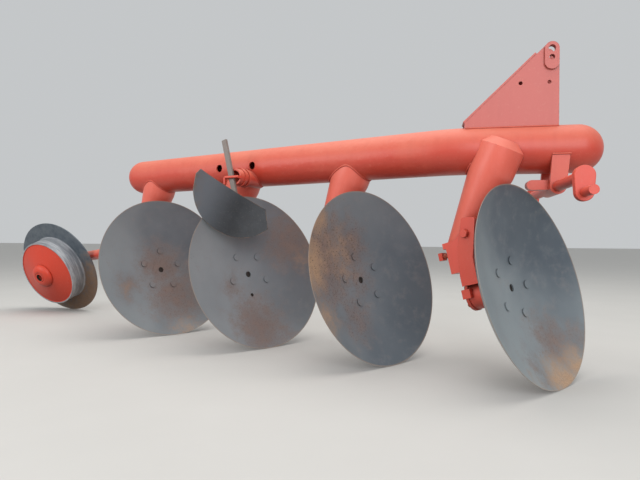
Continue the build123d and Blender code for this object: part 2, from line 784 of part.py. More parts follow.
def build():
    """All pieces by name, as they stand over the point below the front disc."""
    pieces = {
        "beam": make_beam(),
        "mast_plate_left": make_mast_plate(1),
        "mast_plate_right": make_mast_plate(-1),
        "mast_strip": make_mast_strip(),
        "hitch_bracket": make_hitch_bracket(),
        "cross_shaft": make_cross_shaft(),
        "crank_left": make_crank(1),
        "crank_right": make_crank(-1),
        "hitch_pin_left": make_hitch_pin(1),
        "hitch_pin_right": make_hitch_pin(-1),
        "scraper_boss": make_boss(),
        "scraper_clamp": make_clamp(),
        "scraper_post": make_post(),
        "scraper_blade": make_blade(),
        "wheel_rim": make_wheel_rim(),
        "wheel_face": make_wheel_face(),
        "wheel_axle": make_axle(),
        "tail_arm": make_arm(),
        "tail_bracket": make_tail_bracket(),
    }
    for number in range(1, disc_count + 1):
        pieces[f"leg_{number}"] = make_leg(number)
        pieces[f"foot_{number}"] = make_foot(number)
        pieces[f"bearing_{number}"] = make_carrier(number)
        pieces[f"adjusters_{number}"] = Compound(children=[p.solid() for p in make_adjusters(number)])
        pieces[f"hub_{number}"] = make_hub(number)
        pieces[f"disc_{number}"] = make_disc(number)
        pieces[f"disc_bolts_{number}"] = make_disc_bolts(number)
    return pieces


pieces = build()
low, high = Vector(1e9, 1e9, 1e9), Vector(-1e9, -1e9, -1e9)
for piece in pieces.values():
    box = piece.bounding_box()
    low = Vector(min(low.X, box.min.X), min(low.Y, box.min.Y), min(low.Z, box.min.Z))
    high = Vector(max(high.X, box.max.X), max(high.Y, box.max.Y), max(high.Z, box.max.Z))
origin = Vector((low.X + high.X) / 2, (low.Y + high.Y) / 2, low.Z)
os.makedirs("parts", exist_ok=True)
for name, piece in pieces.items():
    export_step(Pos(*(-origin)) * piece, f"parts/{name}.step")
print("origin moved to", origin, "size", high - low)
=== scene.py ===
# %% [markdown]
# # A mounted disc plough
# The plough is a bent steel tube that carries four raked legs. Each leg holds a bearing and a dished disc
# that is turned and tilted, so that it lifts a furrow and throws it to the right. A mast and two pins
# join it to the lift of a tractor, and a leaning flanged wheel at the back takes the side push.
#
# The exact solids come from CAD. This lesson gives them their edges, welds, small parts and finishes, and
# then a floor, lights and a camera.

# %% The frame and the tools
import json
import math
import bpy
from mathutils import Matrix, Vector


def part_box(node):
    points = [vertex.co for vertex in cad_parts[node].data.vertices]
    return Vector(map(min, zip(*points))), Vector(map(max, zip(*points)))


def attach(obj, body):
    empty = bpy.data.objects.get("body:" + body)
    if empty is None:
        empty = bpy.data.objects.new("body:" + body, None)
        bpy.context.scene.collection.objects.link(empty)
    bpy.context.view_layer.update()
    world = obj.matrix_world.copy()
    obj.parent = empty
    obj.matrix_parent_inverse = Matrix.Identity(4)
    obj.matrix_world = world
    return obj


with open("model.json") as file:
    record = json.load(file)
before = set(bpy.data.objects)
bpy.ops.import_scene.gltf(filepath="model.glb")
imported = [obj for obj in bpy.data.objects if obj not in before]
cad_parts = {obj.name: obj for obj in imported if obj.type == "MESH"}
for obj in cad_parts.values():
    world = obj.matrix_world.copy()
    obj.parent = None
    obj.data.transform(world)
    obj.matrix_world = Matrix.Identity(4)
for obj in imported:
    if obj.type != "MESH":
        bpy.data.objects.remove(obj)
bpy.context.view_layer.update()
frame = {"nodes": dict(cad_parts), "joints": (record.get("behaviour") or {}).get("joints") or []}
nodes = frame["nodes"]

# %% [markdown]
# ## Where things are
# Every length is in metres and every place is in the plough's own frame: X forward, Y left, Z up, the
# floor at 0. The frame's joints tell the point and the direction that each disc and the wheel turn about,
# and the box of a node tells how high and how thick it is. The other places and directions are worked out
# from those, so that this scene follows the CAD where a size changes there.

# %% Places and directions
MM = 0.001
UP = Vector((0, 0, 1))
FORWARD = Vector((1, 0, 0))
joints = {joint["name"]: joint for joint in frame["joints"]}


def turning(joint_name):
    """Middle, level direction, direction up its plane and axis of a turning piece."""
    joint = joints[joint_name]
    axis = Vector(joint["axis"]).normalized()
    level = UP.cross(axis).normalized()
    return Vector(joint["pos_m"]), level, axis.cross(level), axis


# number 1 is the rear disc and number 4 the front one
disc_numbers = (1, 2, 3, 4)
disc_centre = {n: turning(f"disc_{n}_spin")[0] for n in disc_numbers}
front_disc, disc_level, disc_up, disc_axis = turning("disc_4_spin")
wheel_centre, wheel_level, wheel_up, wheel_axis = turning("rear_wheel_spin")
along = (front_disc - disc_centre[1]).normalized()
to_left = UP.cross(along)
# the spot on the floor below the front disc, from which the camera and the hitch are measured
start_spot = Vector((front_disc.x, front_disc.y, 0.0))
beam_low, beam_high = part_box("beam")
beam_radius = (beam_high.z - beam_low.z) / 2
beam_height = beam_high.z - beam_radius
# the tube behind the bend lies this far left of the discs' line
beam_offset = 0.082


def gang_point(back, left, height):
    """Point by its way back from the front disc, its way left of the discs' line and its height."""
    return start_spot - along * back + to_left * left + UP * height


def disc_point(number, x, y, z):
    """Point by a disc's own level direction, the direction up its plane and its axis."""
    return disc_centre[number] + disc_level * x + disc_up * y + disc_axis * z


print("disc centres", [tuple(round(v, 3) for v in centre) for centre in disc_centre.values()])
print("wheel centre", tuple(round(v, 3) for v in wheel_centre))

# %% [markdown]
# ## The camera
# The picture is taken from the plough's right, with the lens about half a metre above the ground and
# turned a little toward the rear. A lens of 29 mm is slightly wide, so the front disc looks larger than
# the rear one. The camera looks level, with a roll of less than half a degree, so the upright edges of
# the mast stay upright.

# %% Camera
camera_spot = start_spot + Vector((-0.375, -1.881, 0.484))
look = Vector((-0.196, 0.981, 0.0)).normalized()
right = look.cross(UP)
camera_roll = math.radians(0.4)
camera_data = bpy.data.cameras.new("camera")
camera_data.lens = 29.25
camera_data.sensor_width = 36.0
camera = bpy.data.objects.new("camera", camera_data)
bpy.context.scene.collection.objects.link(camera)
facing = Matrix((right, UP, -look)).transposed()
turned_camera = facing @ Matrix.Rotation(camera_roll, 3, "Z")
camera.matrix_world = Matrix.Translation(camera_spot) @ turned_camera.to_4x4()
bpy.context.scene.camera = camera
print("camera at", tuple(round(v, 3) for v in camera_spot))

# %% [markdown]
# ## Colours and nodes
# Colours are written as the hex values that a paint shop or a picture editor shows. The shader counts in
# linear light, so one function turns each value. A noise has a scale rather than a size, so a second
# function works it out from the millimetres of a real spot.
#
# A material is a tree of nodes, and Blender's own names for them are long. The table gives each node of
# this lesson a short word, with its settings, its inputs in order and the output that is used. One small
# function adds the node of a row, so that a material reads as a list of steps.

# %% Colours, sizes and the table of nodes


def linear(hex_colour):
    """Linear colour of an sRGB hex value."""
    parts = [int(hex_colour[i:i + 2], 16) / 255 for i in (1, 3, 5)]
    return tuple(p / 12.92 if p <= 0.04045 else ((p + 0.055) / 1.055) ** 2.4 for p in parts) + (1.0,)


def every(size_mm):
    """Scale of a noise whose spots are about size_mm across."""
    return 1.0 / (size_mm * MM)


RANGE = ("Value", "From Min", "From Max", "To Min", "To Max")
# each row: Blender's kind of node, its settings, its inputs in order and the output that is used
NODES = {
    "place": ("ShaderNodeTexCoord", {}, (), "Object"),
    "normal": ("ShaderNodeTexCoord", {}, (), "Normal"),
    "true normal": ("ShaderNodeNewGeometry", {}, (), "Normal"),
    "rounded normal": ("ShaderNodeBevel", {"samples": 4}, ("Radius",), "Normal"),
    "openness": ("ShaderNodeAmbientOcclusion", {"samples": 8}, ("Distance",), "AO"),
    "noise": ("ShaderNodeTexNoise", {}, ("Vector", "Scale", "Detail", "Roughness"), 0),
    "bump": ("ShaderNodeBump", {}, ("Height", "Strength", "Distance"), "Normal"),
    "mix": ("ShaderNodeMix", {"data_type": "RGBA"}, (0, 6, 7), 2),
    "blend": ("ShaderNodeMix", {}, (0, 2, 3), 0),
    "stretch": ("ShaderNodeMapRange", {"interpolation_type": "SMOOTHSTEP"}, RANGE, "Result"),
    "plus": ("ShaderNodeMath", {"operation": "ADD", "use_clamp": True}, (0, 1), 0),
    "times": ("ShaderNodeMath", {"operation": "MULTIPLY", "use_clamp": True}, (0, 1), 0),
    "larger": ("ShaderNodeMath", {"operation": "MAXIMUM", "use_clamp": True}, (0, 1), 0),
    "sum": ("ShaderNodeMath", {"operation": "ADD"}, (0, 1), 0),
    "times and plus": ("ShaderNodeMath", {"operation": "MULTIPLY_ADD"}, (0, 1, 2), 0),
    "dot": ("ShaderNodeVectorMath", {"operation": "DOT_PRODUCT"}, (0, 1), "Value"),
    "length": ("ShaderNodeVectorMath", {"operation": "LENGTH"}, (0,), "Value"),
    "distance": ("ShaderNodeVectorMath", {"operation": "DISTANCE"}, (0, 1), "Value"),
    "x": ("ShaderNodeSeparateXYZ", {}, ("Vector",), "X"),
    "y": ("ShaderNodeSeparateXYZ", {}, ("Vector",), "Y"),
    "z": ("ShaderNodeSeparateXYZ", {}, ("Vector",), "Z"),
    "scaled": ("ShaderNodeMapping", {}, ("Vector", "Scale"), "Vector"),
    "own place": ("ShaderNodeMapping", {"vector_type": "TEXTURE"},
                  ("Vector", "Location", "Rotation"), "Vector"),
    "group input": ("NodeGroupInput", {}, (), 0),
    "fold": ("GeometryNodeInputMeshEdgeAngle", {}, (), "Unsigned Angle"),
    "above": ("FunctionNodeCompare", {"operation": "GREATER_THAN"}, (0, 1), 0),
    "sharpness": ("GeometryNodeSetMeshNormal", {"mode": "SHARPNESS"},
                  ("Mesh", "Remove Custom", "Edge Sharpness", "Face Sharpness"), 0),
}


def add(tree, word, *values):
    """Adds the node of a row. A value is a number, a colour in hex or the output that feeds the input."""
    kind, settings, inputs, output = NODES[word]
    node = tree.nodes.new(kind)
    for name, value in settings.items():
        setattr(node, name, value)
    for name, value in zip(inputs, values):
        if isinstance(value, bpy.types.NodeSocket):
            tree.links.new(value, node.inputs[name])
        else:
            node.inputs[name].default_value = linear(value) if isinstance(value, str) else value
    return node.outputs[output]


def surface(name):
    """New material, its node tree and its shader."""
    material = bpy.data.materials.new(name)
    material.use_nodes = True
    tree = material.node_tree
    return material, tree, tree.nodes["Principled BSDF"]


def connect(tree, shader, colour, roughness, normal):
    """Feeds the shader's colour, roughness and normal."""
    for name, output in (("Base Color", colour), ("Roughness", roughness), ("Normal", normal)):
        tree.links.new(output, shader.inputs[name])


print("helpers ready, salmon is", tuple(round(v, 3) for v in linear("#e88a76")))

# %% [markdown]
# ## Alkyd enamel, paled by the sun, with painted light and shade
# Farm machines are sprayed with an alkyd enamel, which is glossy when new. Years in the sun turn its
# upper faces pale and powdery. The colour also carries painted light and shade: by the way a face looks
# up or down it mixes a salmon, for upper faces that are both paled and lit, and a deeper red, for lower
# faces in painted shade. Edges lose paint first: the bevel node gives the normal of a rounded edge, and
# where it differs from the real one there is an edge. Rain leaves long upright streaks, made by a noise
# that is stretched in height. Corners are darkened as painted shade, and the ambient occlusion node finds
# them: it sends short rays from each point and tells how many of them meet nothing.

# %% Enamel


def edges(tree, radius_mm):
    """Mask that is 1 at edges: there the normal of a rounded edge differs from the real one."""
    rounded = add(tree, "rounded normal", radius_mm * MM)
    plain = add(tree, "true normal")
    same = add(tree, "dot", rounded, plain)
    return add(tree, "stretch", same, 0.985, 0.86)


def corners(tree, reach_mm):
    """Mask of painted shade that rises to 1 in corners, where short rays meet other faces."""
    openness = add(tree, "openness", reach_mm * MM)
    return add(tree, "stretch", openness, 0.85, 0.2)


def enamel(name, faded_and_lit, body, deep, steel="#5b4034", paling_and_light=1.0):
    """Alkyd enamel, with its paled and lit colour, its middle colour, its deep colour for painted shade and
    rain streaks, and that of the bare spots; the last number sets how far upper faces go pale.
    """
    material, tree, shader = surface(name)
    where = add(tree, "place")
    upness = add(tree, "z", add(tree, "normal"))
    cloud = add(tree, "noise", where, every(160.0), 4.0, 0.55)
    speck = add(tree, "noise", where, every(9.0), 4.0, 0.55)
    # painted light and shade: faces that look up go toward the pale colour, which is sun-paled and lit, and
    # faces that look down go toward the deep colour as painted shade
    lit = add(tree, "stretch", upness, -0.4, 0.95)
    lit = add(tree, "plus", lit, add(tree, "stretch", cloud, 0.35, 0.75, -0.12, 0.16))
    shade = add(tree, "stretch", upness, -0.95, 0.05)
    colour = add(tree, "mix", shade, deep, body)
    colour = add(tree, "mix", add(tree, "times", lit, paling_and_light), colour, faded_and_lit)
    # rain streaks, 30 mm wide and some 300 mm long
    tall = add(tree, "scaled", where, (1.0, 1.0, 0.1))
    streak = add(tree, "stretch", add(tree, "noise", tall, every(30.0), 3.0, 0.55), 0.45, 0.8)
    colour = add(tree, "mix", add(tree, "times", streak, 0.12), colour, deep)
    # painted shade in the corners, in a dark brown
    colour = add(tree, "mix", add(tree, "times", corners(tree, 30.0), 0.55), colour, "#55261c")
    # dust that settles in fine spots
    dust = add(tree, "stretch", speck, 0.55, 0.8, 0.0, 0.10)
    colour = add(tree, "mix", dust, colour, "#d8a595")
    # worn edges and chips down to primer and rust
    chip = add(tree, "stretch", add(tree, "noise", where, every(13.0), 6.0, 0.7), 0.5, 0.6)
    worn = add(tree, "times", edges(tree, 3.0), chip)
    spot = add(tree, "stretch", add(tree, "noise", where, every(34.0), 8.0, 0.75), 0.68, 0.72)
    bare = add(tree, "larger", worn, add(tree, "times", spot, 0.55))
    colour = add(tree, "mix", bare, colour, steel)
    rough = add(tree, "stretch", lit, 0.0, 1.0, 0.38, 0.56)
    rough = add(tree, "plus", rough, add(tree, "times", bare, 0.25))
    # orange peel of the spray, dents of the plate and the step down to bare steel
    peel = add(tree, "noise", where, every(5.0), 2.0, 0.55)
    dent = add(tree, "noise", where, every(90.0), 2.0, 0.55)
    height = add(tree, "times and plus", dent, 6.0, peel)
    height = add(tree, "times and plus", bare, -0.8, height)
    connect(tree, shader, colour, rough, add(tree, "bump", height, 0.5, 0.25 * MM))
    shader.inputs["IOR"].default_value = 1.5
    return material


red_enamel = enamel("red_alkyd_enamel", "#d6725b", "#cb4938", "#a53626")
# painted light and shade by part: the mast's copy is pinker and also darker as painted shade, and the legs'
# and the feet's copies are brighter as painted light
shaded_mast_enamel = enamel("red_enamel_on_the_mast_painted_darker", "#c96d63", "#bf5b51", "#9b4338")
lit_leg_enamel = enamel("red_enamel_on_legs_painted_brighter", "#dd7865", "#e36856", "#b94b3c")
lit_foot_enamel = enamel("red_enamel_on_feet_painted_brighter", "#dd6654", "#dc5343", "#a83e30", paling_and_light=0.8)
cast_enamel = enamel("red_enamel_on_castings", "#db6450", "#d64b39", "#9c3524", paling_and_light=0.7)
wheel_enamel = enamel("red_enamel_of_the_wheel", "#d8492d", "#cf3a20", "#8b2915", paling_and_light=0.4)
grey_enamel = enamel("grey_enamel", "#8c8079", "#766c66", "#4c4642", "#6a4a38")
print("enamels", [m.name for m in bpy.data.materials if "enamel" in m.name])

# %% [markdown]
# ## Varnished disc steel
# Discs are pressed hot from boron steel and dipped in a thin blue-black varnish. It dulls to a slate
# grey, and rust comes through in patches of brown and tan, most where the soil or water stood. Each disc
# has its own patches, listed in millimetres in the disc's own plane, so the mapping node first turns the
# frame's coordinates into the disc's. The noise breaks up the patches' borders, and fine pits are both
# darker and deeper.

# %% Disc steel


def own_coordinates(tree, centre, level, up, axis):
    """Coordinates in a turned piece's own plane: x level, y up the plane, z along the axis, in metres."""
    turned = Matrix((level, up, axis)).transposed()
    return add(tree, "own place", add(tree, "place"), centre, turned.to_euler())


def from_axis(tree, where):
    """Way from the axis of a turned piece, in metres."""
    flat = add(tree, "scaled", where, (1, 1, 0))
    return add(tree, "length", flat)


def patches(tree, where, rows):
    """Mask of soft round patches, each row x, y and radius in mm and its strength."""
    total = None
    for x, y, radius, strength in rows:
        flat = add(tree, "scaled", where, (1, 1, 0))
        far = add(tree, "distance", flat, (x * MM, y * MM, 0))
        one = add(tree, "stretch", far, radius * MM, 0.0, 0.0, strength)
        total = one if total is None else add(tree, "larger", total, one)
    return total


def disc_steel(number, tone, brown_rows, tan_rows):
    """Varnished steel of one disc with its own tone and patches of rust."""
    material, tree, shader = surface(f"varnished_disc_steel_{number}")
    where = own_coordinates(tree, disc_centre[number], disc_level, disc_up, disc_axis)
    cloud = add(tree, "noise", where, every(260.0), 3.0, 0.45)
    mottle = add(tree, "noise", where, every(48.0), 6.0, 0.62)
    fine = add(tree, "noise", where, every(7.0), 5.0, 0.7)
    dark, pale, level, upward, pitted = tone
    # painted light and shade across the dish: the varnish goes from its dark to its pale tone along a slant
    # set for each disc
    light_across_dish = add(tree, "dot", where, (level / 0.7, upward / 0.7, 0))
    light_across_dish = add(tree, "sum", light_across_dish, cloud)
    colour = add(tree, "mix", add(tree, "stretch", light_across_dish, 0.05, 0.95), dark, pale)
    colour = add(tree, "mix", add(tree, "stretch", mottle, 0.45, 0.8, 0.0, 0.3), colour, "#8b9093")
    broken = add(tree, "times and plus", fine, 0.35, mottle)
    broken = add(tree, "stretch", broken, 0.4, 0.95, -0.2, 0.2)
    brown = add(tree, "stretch", add(tree, "plus", patches(tree, where, brown_rows), broken), 0.0, 0.9)
    rust = add(tree, "mix", mottle, "#6b5a55", "#8c7971")
    colour = add(tree, "mix", brown, colour, rust)
    tan = add(tree, "stretch", add(tree, "plus", patches(tree, where, tan_rows), broken), 0.1, 1.0)
    sand = add(tree, "mix", add(tree, "stretch", fine, 0.3, 0.7), "#a38469", "#bb9b7e")
    colour = add(tree, "mix", tan, colour, sand)
    # pits, 2 to 6 mm across, dark brown, few on the varnish and many in the rust
    weak = add(tree, "stretch", mottle, 0.45, 0.65, 0.0, 0.7)
    few = add(tree, "times", add(tree, "stretch", fine, 0.63, 0.72), weak)
    in_rust = add(tree, "times", brown, pitted)
    many = add(tree, "times", add(tree, "stretch", fine, 0.53, 0.62), in_rust)
    pit = add(tree, "larger", few, many)
    colour = add(tree, "mix", pit, colour, "#3f352f")
    # painted shade round the bolt heads
    colour = add(tree, "mix", add(tree, "times", corners(tree, 12.0), 0.75), colour, "#2b2826")
    # the ground rim, worn to a thin light line from a radius of 350 mm on
    rim = add(tree, "stretch", from_axis(tree, where), 0.350, 0.354)
    colour = add(tree, "mix", add(tree, "times", rim, 0.6), colour, "#a08d7d")
    rough = add(tree, "stretch", add(tree, "larger", brown, tan), 0.0, 1.0, 0.40, 0.75)
    height = add(tree, "times and plus", pit, -1.0, mottle)
    connect(tree, shader, colour, rough, add(tree, "bump", height, 0.3, 0.4 * MM))
    shader.inputs["Metallic"].default_value = 0.15
    return material


# each row: the dark and the pale tone of the varnish, how much paler the painted light makes it to the
# level side and up the disc, and how dark the pits in its rust are
TONE = {
    1: ("#646b71", "#8b9194", -0.6, -0.2, 0.25),
    2: ("#6a7076", "#8f9396", -0.6, 0.0, 0.2),
    3: ("#5a636b", "#7b8084", -0.5, 0.5, 0.75),
    4: ("#515a63", "#8b9396", -0.5, -0.8, 0.25),
}
# each row: x, y and radius in mm in the disc's plane, and strength
BROWN = {
    1: ((0, 20, 220, 0.8), (60, -150, 280, 0.75), (170, -60, 220, 0.55), (-200, -85, 140, 0.5)),
    2: ((241, 154, 260, 0.75), (-6, -246, 260, 0.75), (88, -282, 160, 0.5), (-100, -60, 110, 0.45)),
    3: ((-230, 90, 330, 0.85), (-60, 130, 210, 0.7), (-30, 10, 170, 0.5), (-95, -150, 190, 0.5)),
    4: ((110, -215, 200, 0.65), (240, -222, 150, 0.4), (-60, -290, 160, 0.4)),
}
TAN = {
    1: ((60, -330, 130, 0.5), (-215, -95, 90, 0.3)),
    2: ((300, 60, 110, 0.3),),
    3: ((-330, 60, 200, 0.9), (-270, 230, 150, 0.75), (-300, -140, 140, 0.65), (-130, 110, 210, 0.45)),
    4: ((50, -350, 170, 0.95), (170, -300, 130, 0.75), (-140, -310, 100, 0.35)),
}
disc_finish = {n: disc_steel(n, TONE[n], BROWN[n], TAN[n]) for n in disc_numbers}
print("disc finishes", [m.name for m in disc_finish.values()])

# %% [markdown]
# ## The blade and the hub's bare face
# The scraper's blade comes from the same varnish dip. Its colour is painted dark as shade, with a painted
# highlight toward one side, and its cut edges are thin lines of brown. A hub is painted with the carrier,
# except on the hollow face that the disc is bolted to: that face is bare steel, painted near black as the
# shade that the eye meets behind an empty bolt hole. Its shape is part of a ball, so the distance from the
# ball's middle tells the shader where the paint ends.

# %% Blade steel and the hubs


def blade_steel():
    """Varnished steel painted dark as shade, paler toward one side as a painted highlight, with brown edges
    and spots.
    """
    material, tree, shader = surface("varnished_blade_steel")
    where = own_coordinates(tree, disc_point(2, -0.14, 0.35, 0.08), disc_level, disc_up, disc_axis)
    mottle = add(tree, "noise", where, every(40.0), 6.0, 0.6)
    fine = add(tree, "noise", where, every(6.0), 4.0, 0.7)
    # painted shade: the base colours are dark for the shade that lies on the blade
    colour = add(tree, "mix", add(tree, "stretch", mottle, 0.3, 0.7), "#1e2125", "#2a2e33")
    # painted highlight: a pale band toward one side of the blade
    level, upward = add(tree, "x", where), add(tree, "y", where)
    slant = add(tree, "times and plus", upward, -0.5, level)
    left = add(tree, "stretch", slant, 0.09, -0.16)
    colour = add(tree, "mix", add(tree, "times", left, 0.85), colour, "#727980")
    colour = add(tree, "mix", add(tree, "stretch", fine, 0.55, 0.8, 0.0, 0.4), colour, "#807b72")
    edge = add(tree, "times", edges(tree, 5.0), add(tree, "stretch", mottle, 0.35, 0.55))
    border = add(tree, "stretch", level, -0.12, -0.22)
    spots = add(tree, "times", add(tree, "stretch", mottle, 0.4, 0.7), add(tree, "times", border, 0.8))
    brown = add(tree, "larger", edge, spots)
    colour = add(tree, "mix", brown, colour, add(tree, "mix", fine, "#5d4838", "#93765c"))
    rough = add(tree, "stretch", brown, 0.0, 1.0, 0.5, 0.8)
    connect(tree, shader, colour, rough, add(tree, "bump", mottle, 0.25, 0.4 * MM))
    return material


def cover(material, mask, colour, roughness):
    """Puts a coat over a finished material where the mask is 1."""
    tree = material.node_tree
    shader = tree.nodes["Principled BSDF"]
    for name, word, value in (("Base Color", "mix", colour), ("Roughness", "blend", roughness)):
        below = shader.inputs[name].links[0].from_socket
        tree.links.new(add(tree, word, mask, below, value), shader.inputs[name])


def hole_shade_colour(tree, where, light):
    """Near-black colour of painted shade inside holes, from black to a lighter tone."""
    return add(tree, "mix", add(tree, "noise", where, every(9.0), 4.0, 0.55), "#1d1916", light)


# the ball's middle on the disc's axis and its radius
ball_middle, ball_radius = 0.657112, 0.753412
# the face is bare until the first of these ways past the ball's skin and painted from the second
bare_until, painted_from = 0.5 * MM, 1.5 * MM
hub_finish = {}
for number in disc_numbers:
    hub = enamel(f"red_enamel_on_hub_{number}", "#d86450", "#c7432f", "#80281a", paling_and_light=0.7)
    tree = hub.node_tree
    where = own_coordinates(tree, disc_centre[number], disc_level, disc_up, disc_axis)
    far = add(tree, "distance", where, (0, 0, ball_middle))
    hollow = add(tree, "stretch", far, ball_radius + painted_from, ball_radius + bare_until)
    # the bare hollow face is painted near black as the shade seen behind the bolt holes
    cover(hub, hollow, hole_shade_colour(tree, where, "#352c26"), 0.5)
    hub_finish[number] = hub
blade_finish = blade_steel()
print("hub finishes", len(hub_finish))

# %% [markdown]
# ## Hot-rolled steel, worn steel and rusty fasteners
# Bolts, pins and the cross shaft are plain steel with a skin of rust: a metal under a rough brown film,
# so the mask of the film drives colour, roughness and the metallic value together. The wheel's drum is
# worn light by the ground and its flange is darker.

# %% Steels


def rusty_steel(name, metal, rust, share):
    """Steel with a broken film of rust on about a share of it."""
    material, tree, shader = surface(name)
    where = add(tree, "place")
    cloud = add(tree, "noise", where, every(14.0), 7.0, 0.7)
    fine = add(tree, "noise", where, every(2.5), 3.0, 0.55)
    film = add(tree, "stretch", cloud, 0.72 - 0.45 * share, 0.86 - 0.45 * share)
    rust_colour = add(tree, "mix", fine, rust, "#a0673f")
    metal_colour = add(tree, "mix", add(tree, "stretch", fine, 0.35, 0.7, 0.0, 0.4), metal, "#2e2a28")
    colour = add(tree, "mix", film, metal_colour, rust_colour)
    rough = add(tree, "stretch", film, 0.0, 1.0, 0.42, 0.85)
    connect(tree, shader, colour, rough, add(tree, "bump", fine, 0.5, 0.2 * MM))
    tree.links.new(add(tree, "stretch", film, 0.0, 1.0, 0.8, 0.0), shader.inputs["Metallic"])
    return material


bolt_steel = rusty_steel("rusty_bolt_steel", "#4f4a47", "#59392a", 0.75)
shaft_steel = rusty_steel("oxidised_round_bar", "#6f6964", "#6a4531", 0.5)


def drum():
    """Drum worn light by the ground, with streaks along its turning, and a darker flange."""
    material, tree, shader = surface("worn_drum_steel")
    where = own_coordinates(tree, wheel_centre, wheel_level, wheel_up, wheel_axis)
    far = from_axis(tree, where)
    mottle = add(tree, "noise", where, every(40.0), 6.0, 0.65)
    fine = add(tree, "noise", where, every(6.0), 4.0, 0.7)
    # streaks: the noise reads only the way along the axis and a little of the rest
    along_axis = add(tree, "scaled", where, (0.12, 0.12, 1.0))
    streak = add(tree, "stretch", add(tree, "noise", along_axis, every(16.0), 5.0, 0.6), 0.35, 0.7)
    flange = add(tree, "mix", add(tree, "stretch", mottle, 0.3, 0.7), "#4a535c", "#5f676e")
    tread = add(tree, "mix", streak, "#7f8389", "#b8babd")
    # radii in metres: the tread ends at the first, and the flange is plain from the second
    tread_edge, flange_edge = 0.214, 0.222
    colour = add(tree, "mix", add(tree, "stretch", far, tread_edge, flange_edge), tread, flange)
    # brown where the flange's front lower side stood in wet soil
    low = add(tree, "times and plus", add(tree, "x", where), -0.8, add(tree, "y", where))
    low = add(tree, "stretch", low, 0.0, -0.3, 0.0, 0.8)
    brown = add(tree, "plus", low, add(tree, "stretch", mottle, 0.3, 0.7, -0.25, 0.25))
    brown = add(tree, "stretch", brown, 0.1, 0.9)
    brown = add(tree, "times", brown, add(tree, "stretch", far, tread_edge, flange_edge, 0.3, 1.0))
    colour = add(tree, "mix", brown, colour, add(tree, "mix", fine, "#5c4636", "#8d7460"))
    rough = add(tree, "stretch", brown, 0.0, 1.0, 0.42, 0.8)
    connect(tree, shader, colour, rough, add(tree, "bump", mottle, 0.35, 0.4 * MM))
    shader.inputs["Metallic"].default_value = 0.25
    return material


drum_steel = drum()
# the hole of the nose is painted near black as the shade inside it, from its wall inward and from its floor
# outward
tree = wheel_enamel.node_tree
where = own_coordinates(tree, wheel_centre, wheel_level, wheel_up, wheel_axis)
inside_wall = add(tree, "stretch", from_axis(tree, where), 0.0235, 0.0215)
above_floor = add(tree, "stretch", add(tree, "z", where), 0.15, 0.152)
in_hole = add(tree, "times", inside_wall, above_floor)
cover(wheel_enamel, in_hole, hole_shade_colour(tree, where, "#3a2e26"), 0.6)
print("steels", bolt_steel.name, shaft_steel.name, drum_steel.name)

# %% [markdown]
# ## Edges of the solids
# A CAD edge is a mathematical line, but a flame-cut plate, a casting or a forging is always a little
# round there, and that round catches a thin line of light. Modifiers do it without touching the mesh:
# Weld joins the doubled points of the imported file, Decimate merges the flat triangles, Bevel rounds
# what is sharp, and a small node group shades everything smooth except at steep edges. Smooth shading
# alone would bend the light across a whole plate, so Weighted Normal gives large faces the last word over
# the narrow ones at their edges.

# %% Rounded edges by modifiers


def smooth_group(angle):
    """Node group that shades smooth except where two faces meet at more than an angle, in degrees."""
    group = bpy.data.node_groups.new("smooth_below_an_angle", "GeometryNodeTree")
    group.interface.new_socket("Geometry", in_out="INPUT", socket_type="NodeSocketGeometry")
    group.interface.new_socket("Geometry", in_out="OUTPUT", socket_type="NodeSocketGeometry")
    sharp = add(group, "above", add(group, "fold"), math.radians(angle))
    shaded = add(group, "sharpness", add(group, "group input"), True, sharp, False)
    group.links.new(shaded, group.nodes.new("NodeGroupOutput").inputs["Geometry"])
    return group


smooth = smooth_group(32.0)


def dress(obj, bevel_mm):
    """Modifiers that clean, round and smooth one object. With 0 no edge is rounded."""
    weld = obj.modifiers.new("weld", "WELD")
    weld.merge_threshold = 0.00002
    flatten = obj.modifiers.new("flatten", "DECIMATE")
    flatten.decimate_type = "DISSOLVE"
    flatten.angle_limit = math.radians(0.6)
    if bevel_mm:
        bevel = obj.modifiers.new("edges", "BEVEL")
        bevel.width = bevel_mm * MM
        bevel.segments = 2
        bevel.limit_method = "ANGLE"
        bevel.angle_limit = math.radians(35.0)
        bevel.use_clamp_overlap = True
    shade = obj.modifiers.new("smooth", "NODES")
    shade.node_group = smooth
    normals = obj.modifiers.new("large faces stay flat", "WEIGHTED_NORMAL")
    normals.keep_sharp = True


def paint(obj, material):
    """Puts one material on every slot of an object."""
    if not obj.data.materials:
        obj.data.materials.append(material)
    for index in range(len(obj.data.materials)):
        obj.data.materials[index] = material


# which node takes which finish and how round its edges are in mm, by the start of its name
FINISH = (
    ("beam", red_enamel, 0.0),
    ("mast_", shaded_mast_enamel, 1.5),
    ("hitch_bracket", red_enamel, 1.5),
    ("hitch_pin", cast_enamel, 2.5),
    ("cross_shaft", cast_enamel, 0.0),
    ("crank_", cast_enamel, 3.0),
    ("scraper_boss", red_enamel, 1.0),
    ("scraper_clamp", cast_enamel, 1.0),
    ("scraper_post", grey_enamel, 1.0),
    ("scraper_blade", blade_finish, 0.0),
    ("leg_", lit_leg_enamel, 0.0),
    ("foot_", lit_foot_enamel, 3.0),
    ("bearing_", cast_enamel, 2.5),
    ("adjusters_", cast_enamel, 1.2),
    ("tail_arm", red_enamel, 1.5),
    ("tail_bracket", red_enamel, 1.5),
    ("wheel_rim", drum_steel, 1.0),
    ("wheel_face", wheel_enamel, 3.0),
    ("wheel_axle", shaft_steel, 1.5),
)
